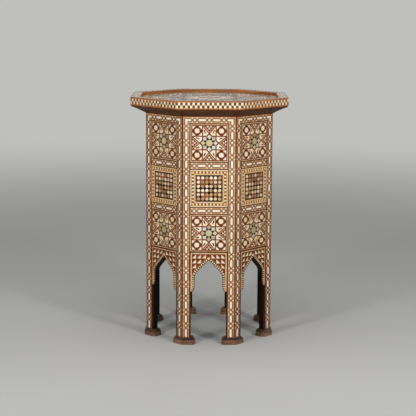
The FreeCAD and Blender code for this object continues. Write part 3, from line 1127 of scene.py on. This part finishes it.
brown_blocks = block_row(BROWN_BLOCKS)
inside, outside = CORNER_DARK
tile(brown_blocks, (outside, outside), (outside, inside), (inside, outside))
inlay("frame_brown", around_mosaic(brown_blocks), block_wood, wall(FACE), CHEQUER_JOINT)
cream_blocks = block_row(CREAM_BLOCKS)
along = Vector((1, -1)).normalized() * CORNER_BAR.x
across = Vector((1, 1)).normalized() * CORNER_BAR.y
slab(cream_blocks, Vector((CORNER_BAR_PLACE, CORNER_BAR_PLACE)), along, across)
for line in FRAME_LINES:
    frame_strip(cream_blocks, *line)
inlay("frame_cream", around_mosaic(cream_blocks), yellow_bone, wall(FACE), CHEQUER_JOINT)
drawing = bmesh.new()
frame_strip(drawing, *MOSAIC_LINE)
inlay("mosaic_line", around_mosaic(drawing), line_wood, wall(FACE))

# %% [markdown]
# ## Spandrels
# Above the arch the ground is red-brown, with a pale strip along its top and sides. Bone triangles step
# down each shoulder, three, two and one to a row, so that they follow the slope. The left half is drawn
# and mirrored.

# %% Spandrels
ARCH_BOTTOM, SPANDREL_TOP = span("spandrel_panels", Z)
STEP_LEG = 10.5
STEP_LEFT, STEP_DROP = -44.3, 6.0
STEP_PITCH = Vector((13.2, 13.5))
STEP_ROWS = 3
STRIP = (45.2, 47.9)
STRIP_EDGE = 1.9

drawing = bmesh.new()
tile(drawing, (0, -STEP_LEG), (STEP_LEG, -STEP_LEG), (STEP_LEG, 0))
laid(drawing, *[(STEP_LEFT + column * STEP_PITCH.x, SPANDREL_TOP - STEP_DROP - row * STEP_PITCH.y)
                for row in range(STEP_ROWS) for column in range(STEP_ROWS - row)])
mirrored(drawing)
inlay("spandrel_bone", drawing, yellow_bone, wall(FACE))
drawing = bmesh.new()
inner, outer = STRIP
strip_top = SPANDREL_TOP - STRIP_EDGE
strip_turn = strip_top - (outer - inner)
strip_foot = ARCH_BOTTOM + STRIP_EDGE
tile(drawing, (outer, strip_top), (inner, strip_turn), (inner, strip_foot), (outer, strip_foot))
mirrored(drawing)
tile(drawing, (-outer, strip_top), (outer, strip_top), (inner, strip_turn), (-inner, strip_turn))
inlay("spandrel_strips", drawing, pale_strip, wall(FACE))

# %% [markdown]
# ## Arch edging
# A golden string follows the arch, short dark and cream dashes follow it like a rope, and a dark line
# closes the edge. The edge is a slope, a round shoulder, a straight side and a small flare. One
# function gives the point at any distance along that edge, and each dash is one tile between two such
# distances.

# %% Arch edging
ARCH_STRING = 7.5
SPANDREL_BORDER = 5.0
SHOULDER = 27.0
FLARE_HEIGHT, FLARE_RUN = 16.0, 5.0
DASH = 3.0
DASH_DEPTH = (1.6, 6.6)
EDGE_DEPTH = (0.1, 1.5)
DASH_JOINT = 0.2
ARCH_HALF = PANEL_HALF - SPANDREL_BORDER - ARCH_STRING
ARCH_APEX = span("arch_strings", Z)[1] - ARCH_STRING * math.sqrt(2)
FLARE = (FLARE_HEIGHT ** 2 + FLARE_RUN ** 2) / (2 * FLARE_RUN)
SHOULDER_CUT = SHOULDER * HALF_TURN_SLOPE
SHOULDER_CENTRE = Vector((ARCH_HALF - SHOULDER, ARCH_APEX - ARCH_HALF - SHOULDER_CUT))
SLOPE_END = ARCH_HALF * math.sqrt(2) - SHOULDER_CUT
SHOULDER_END = SLOPE_END + SHOULDER * TURN
SIDE_END = SHOULDER_END + SHOULDER_CENTRE.y - (ARCH_BOTTOM + FLARE_HEIGHT)
ARCH_END = SIDE_END + FLARE * 2 * math.atan2(FLARE_RUN, FLARE_HEIGHT)


def heading(angle):
    return Vector((math.cos(angle), math.sin(angle)))


def arch_place(run, depth):
    """A point right of the apex, from the run along the edge of the arch and the depth into the wood."""
    if run < SLOPE_END:
        return Vector((0, ARCH_APEX)) + heading(-TURN) * run + heading(TURN) * depth
    if run < SHOULDER_END:
        return SHOULDER_CENTRE + heading(TURN - (run - SLOPE_END) / SHOULDER) * (SHOULDER + depth)
    if run < SIDE_END:
        return Vector((ARCH_HALF + depth, SHOULDER_CENTRE.y - (run - SHOULDER_END)))
    flare_centre = Vector((ARCH_HALF + FLARE, ARCH_BOTTOM + FLARE_HEIGHT))
    return flare_centre - heading((run - SIDE_END) / FLARE) * (FLARE - depth)


def dash(bm, start, end, depths):
    """One tile along the edge between two runs and two depths."""
    shallow, deep = depths
    tile(bm, arch_place(start, shallow), arch_place(end, shallow),
         arch_place(end, deep), arch_place(start, deep))


def apex_dash(bm, depths):
    """The tile that turns over the apex."""
    shallow, deep = depths
    right = [arch_place(0, shallow), arch_place(0, deep)]
    left = [Vector((-place.x, place.y)) for place in reversed(right)]
    low, high = [ARCH_APEX + depth * math.sqrt(2) for depth in depths]
    tile(bm, *right, (0, high), *left, (0, low))


dark_dashes, cream_dashes, edge_line = bmesh.new(), bmesh.new(), bmesh.new()
dashes = round(ARCH_END / DASH)
for step in range(dashes):
    start, end = ARCH_END * step / dashes, ARCH_END * (step + 1) / dashes
    dash(cream_dashes if step % 2 else dark_dashes, start, end, DASH_DEPTH)
    dash(edge_line, start, end, EDGE_DEPTH)
for drawing in (dark_dashes, cream_dashes, edge_line):
    mirrored(drawing)
apex_dash(cream_dashes, DASH_DEPTH)
apex_dash(edge_line, EDGE_DEPTH)
inlay("arch_dark_dashes", dark_dashes, string_wood, wall(FACE), DASH_JOINT)
inlay("arch_cream_dashes", cream_dashes, golden_bone, wall(FACE), DASH_JOINT)
inlay("arch_edge_line", edge_line, line_wood, wall(FACE), bevel=0.0)

# %% [markdown]
# ## Edge of the tray
# The upright edge of the rim carries a chequer of two rows, bone and brown by turns, between two fine
# lines of pale ground. Each colour is one square, laid at every other place.

# %% Edge chequer
TOP_FACE = -span("rim_1", Y)[0]
EDGE_MIDDLE = middle("edge_bands")
EDGE_COLUMNS = 28
EDGE_ROWS = 2
EDGE_ROW = 7.3
EDGE_SQUARE = Vector((2 * TOP_FACE * HALF_TURN_SLOPE / EDGE_COLUMNS, EDGE_ROW))
EDGE_JOINT = 0.35


def edge_squares(parity):
    """One colour of the chequer: the squares whose row and column add up to an even or odd number."""
    bm = bmesh.new()
    tile(bm, (0, 0), (EDGE_SQUARE.x, 0), EDGE_SQUARE, (0, EDGE_SQUARE.y))
    places = [(column, row) for column in range(EDGE_COLUMNS) for row in range(EDGE_ROWS)
              if (column + row) % 2 == parity]
    left, low = -EDGE_COLUMNS / 2, -EDGE_ROWS / 2
    laid(bm, *[((left + column) * EDGE_SQUARE.x, EDGE_MIDDLE + (low + row) * EDGE_SQUARE.y)
               for column, row in places])
    return bm


inlay("edge_bone", edge_squares(0), yellow_bone, wall(TOP_FACE), EDGE_JOINT)
inlay("edge_brown", edge_squares(1), edge_wood, wall(TOP_FACE), EDGE_JOINT)

# %% [markdown]
# ## Chains on the top
# A chain lies on the flat of the rim, and another runs round the tray inside it. A ring of eight sides
# has mitred corners, where a bar bends: each side holds half of it, cut along the mitre. Thin dark
# strips edge both bands.

# %% Top chains
RIM_TOP = span("rim_1", Z)[1]
TRAY_TOP = span("top_marquetry", Z)[1] + RELIEF
TRAY_EDGE = -span("top_marquetry", Y)[0]
RIM_RING = (TRAY_EDGE + TOP_FACE) / 2
TRAY_RING_INSET = 10.5
TRAY_RING = TRAY_EDGE - TRAY_RING_INSET
RING_LINKS = 4
EDGING_WIDE = 1.2
RIM_EDGING, TRAY_EDGING = 8.6, 8.2


def mitre(radius, inwards):
    """Half the length of a side, at a distance inwards from the ring's own radius."""
    return (radius - inwards) * HALF_TURN_SLOPE


def ring_strip(bm, radius, inwards, width):
    """A straight strip along the front side of a ring, mitred at both ends."""
    near, far = mitre(radius, inwards), mitre(radius, inwards + width)
    tile(bm, (-near, inwards), (near, inwards), (far, inwards + width), (-far, inwards + width))


def ring_chain(name, radius, height, edging, chain_bone, chain_string, chain_line):
    """Chain, strings and edging strips of one ring on the top; edging is how far out the strips lie."""
    pitch = 2 * mitre(radius, 0) / RING_LINKS
    first = (RING_LINKS - 1) * pitch / 2
    tiles = level_links(RING_LINKS, pitch, 0)
    ends = bmesh.new()
    half_bar(ends, first + BAR_TIP, mitre(radius, -BAR_HALF), mitre(radius, BAR_HALF))
    mirrored(ends)
    joined(tiles, ends)
    laid(tiles, (0, -radius))
    inlay(name + "_bone", tiles, chain_bone, table(height))
    for side, drop in ((1, STRING_LIFT), (-1, 0.0)):
        line = level_string(RING_LINKS, pitch, mitre(radius, side * BESIDE_BAR), side, -radius)
        layer = "_strings_under" if drop else "_strings_over"
        inlay(name + layer, line, chain_string, table(height - drop), bevel=0.0)
    strips = bmesh.new()
    ring_strip(strips, radius, edging, EDGING_WIDE)
    ring_strip(strips, radius, -edging - EDGING_WIDE, EDGING_WIDE)
    laid(strips, (0, -radius))
    inlay(name + "_edging", strips, chain_line, table(height))


ring_chain("rim_chain", RIM_RING, RIM_TOP, RIM_EDGING, rim_bone, rim_string, rim_line)
ring_chain("tray_chain", TRAY_RING, TRAY_TOP, TRAY_EDGING, tray_bone, tray_string, tray_line)

# %% [markdown]
# ## Star of the tray
# The tray repeats the star of the walls on a large scale, with its points in the corners of the
# octagon, and a second, smaller star inside it. The fields between its points are filled with the same
# rows of small triangles as the walls. A thin red-brown sheet, just below the tiles, is their ground.

# %% Tray star
FIELD_GAP = 11.0
FIELD_SINK = 0.12
TRAY_FIELD = TRAY_RING - FIELD_GAP
FRONT = -2
SIDE_INSET, SIDE_ROWS = 5.2, 6
TRAY_STRIP = (1.6, 4.0)
KITE_INSET, KITE_ROWS = 1.8, 4
POINT_INSET, POINT_ROWS = 1.6, 2


def inscribed(apothem):
    """The star whose tips reach the corners of an octagon."""
    return StarRings(apothem * math.cos(3 * TURN / 2) / math.cos(TURN / 2))


def side_field(rings):
    """The triangle between two kites, on the front side of the octagon."""
    return [polar(rings.tip, FRONT - 0.5), polar(rings.tip, FRONT + 0.5), polar(rings.point, FRONT)]


def kite_halves(rings):
    """The two halves of the kite at the front-right corner."""
    tip, waist = polar(rings.tip, FRONT + 0.5), polar(rings.waist, FRONT + 0.5)
    return [[waist, tip, polar(rings.point, FRONT)], [tip, waist, polar(rings.point, FRONT + 1)]]


def point_field(rings):
    """The triangle between two kites, inside the front point of the star."""
    return [polar(rings.waist, FRONT - 0.5), polar(rings.waist, FRONT + 0.5), polar(rings.point, FRONT)]


drawing = bmesh.new()
tile(drawing, *[polar(TRAY_FIELD / math.cos(TURN / 2), step + 0.5) for step in range(SIDES)])
inlay("tray_field", drawing, tray_red, table(TRAY_TOP - FIELD_SINK), sides=1)

large = inscribed(TRAY_FIELD)
dark, pale, strips = bmesh.new(), bmesh.new(), bmesh.new()
chequer(dark, pale, shrunk(side_field(large), SIDE_INSET), SIDE_ROWS)
side_strips(strips, side_field(large), *TRAY_STRIP)
kite_dark, kite_bone = bmesh.new(), bmesh.new()
for half in kite_halves(large):
    chequer(kite_dark, kite_bone, shrunk(half, KITE_INSET), KITE_ROWS)
chequer(kite_dark, kite_bone, shrunk(point_field(large), POINT_INSET), POINT_ROWS)
inlay("tray_side_dark", dark, tray_brown, table(TRAY_TOP), CHEQUER_JOINT)
inlay("tray_side_bone", pale, tray_bone, table(TRAY_TOP), CHEQUER_JOINT)
inlay("tray_strips", strips, tray_tan, table(TRAY_TOP))
inlay("tray_kite_dark", kite_dark, tray_ebony, table(TRAY_TOP), CHEQUER_JOINT)
inlay("tray_kite_bone", kite_bone, tray_bone, table(TRAY_TOP), CHEQUER_JOINT)

# %% [markdown]
# ## Small star in the middle of the tray
# The octagon between the lines of the large star holds the heart of the wall panels once more, with
# bone kites round it and chequered triangles on its edges.

# %% Tray middle
TRAY_JOINT = 1.4
MIDDLE_INSET, MIDDLE_ROWS = 1.8, 4

small = inscribed(large.waist * math.cos(TURN / 2))
for (part, draw, slot), material in zip(HEART, (tray_shell, tray_green, tray_ebony)):
    inlay("tray_heart_" + part, draw(small), material, table(TRAY_TOP), HEART_JOINT, sides=1)
kites, slits, dark, pale = bmesh.new(), bmesh.new(), bmesh.new(), bmesh.new()
kite_foot, kite_tip = polar(small.waist, FRONT + 0.5), polar(small.tip, FRONT + 0.5)
tile(kites, polar(small.point, FRONT), kite_foot, polar(small.point, FRONT + 1), kite_tip)
slit(slits, kite_foot, kite_tip)
chequer(dark, pale, shrunk(side_field(small), MIDDLE_INSET), MIDDLE_ROWS)
inlay("tray_kites", kites, tray_bone, table(TRAY_TOP), TRAY_JOINT)
inlay("tray_slits", slits, tray_line, table(TRAY_TOP + SLIT_LIFT), bevel=0.0)
inlay("tray_middle_dark", dark, tray_brown, table(TRAY_TOP), CHEQUER_JOINT)
inlay("tray_middle_bone", pale, tray_bone, table(TRAY_TOP), CHEQUER_JOINT)

# %% [markdown]
# ## Floor, light and air
# The table stands on a plain pale floor. Near the table the floor is an ordinary matt surface that
# takes the shadow, and further off it fades into an even grey, which the world repeats behind it. Two
# small softboxes stand in front, left and right, and a large one hangs above, so that the front is
# brightest. They are kept out of reflections, so that the varnish mirrors only the grey of the room.

# %% Floor and light
GREY = colour(191, 191, 188)
WHITE = (1.0, 1.0, 1.0, 1.0)
WORLD_STRENGTH = 0.25
FLOOR_STOPS = ((0.2, (188, 188, 185)), (0.8, (196, 196, 193)))
FLOOR_CLOUD = 900.0
FLOOR_ROUGHNESS = 0.9
FLOOR_RADIUS = 60.0
FLOOR_SEGMENTS = 64
FADE = (1.0, 4.7)
HAZE = 0.07
TARGET = Vector((0.0, 0.0, 1.0))
SOFTBOXES = (
    ("softbox_left", (-1.05, -1.35, 1.0), 0.25, 12.2),
    ("softbox_right", (1.05, -1.35, 1.0), 0.25, 13.8),
    ("softbox_above", (0.0, -0.4, 2.8), 1.8, 21.0),
)


def shows_backdrop(start):
    """1 for the rays that show the grey itself: to the camera, off a gloss or through glass."""
    kinds = ("Is Camera Ray", "Is Glossy Ray", "Is Transmission Ray")
    camera_ray, glossy_ray, glass_ray = [start.node("LightPath", output=kind) for kind in kinds]
    return camera_ray + glossy_ray + glass_ray


def floor_finish():
    """Matt near the table, an even grey far from it."""
    material, shader, start = finish("floor", FLOOR_ROUGHNESS)
    place = object_place(start)
    streaks(place, EVEN, FLOOR_CLOUD).ramp(FLOOR_STOPS).feed(shader.inputs["Base Color"])
    away = start.node("VectorMath", {0: place}, "Value", operation="LENGTH")
    limits = {"From Min": FADE[0], "From Max": FADE[1], "To Min": HAZE}
    far = start.node("MapRange", {"Value": away, **limits}, interpolation_type="SMOOTHSTEP")
    even = start.node("Emission", {"Color": GREY, "Strength": 1.0})
    matt = Shade(material.node_tree, shader.outputs["BSDF"])
    mixed = start.node("MixShader", {"Fac": far * shows_backdrop(start), 1: matt, 2: even})
    mixed.feed(material.node_tree.nodes["Material Output"].inputs["Surface"])
    return material


def softbox(name, place, size, power):
    """A square lamp at a place in metres that looks at the target and stays out of reflections."""
    light = bpy.data.lights.new(name, "AREA")
    light.size = size
    light.energy = power
    lamp = bpy.data.objects.new(name, light)
    lamp.visible_glossy = False
    aim = (TARGET - Vector(place)).to_track_quat("-Z", "Y").to_matrix().to_4x4()
    lamp.matrix_world = Matrix.Translation(place) @ aim
    bpy.context.collection.objects.link(lamp)


bm = bmesh.new()
bmesh.ops.create_circle(bm, cap_ends=True, segments=FLOOR_SEGMENTS, radius=FLOOR_RADIUS)
floor = placed("floor", bm, floor_finish())
for name, place, size, power in SOFTBOXES:
    softbox(name, place, size, power)

world = bpy.data.worlds.new("studio")
bpy.context.scene.world = world
world.use_nodes = True
air = Shade(world.node_tree)
light = air.node("Background", {"Color": WHITE, "Strength": WORLD_STRENGTH})
wall_grey = air.node("Background", {"Color": GREY, "Strength": 1.0})
both = air.node("MixShader", {"Fac": shows_backdrop(air), 1: light, 2: wall_grey})
both.feed(world.node_tree.nodes["World Output"].inputs["Surface"])
print("lamps:", [lamp.name for lamp in bpy.data.lights])

# %% [markdown]
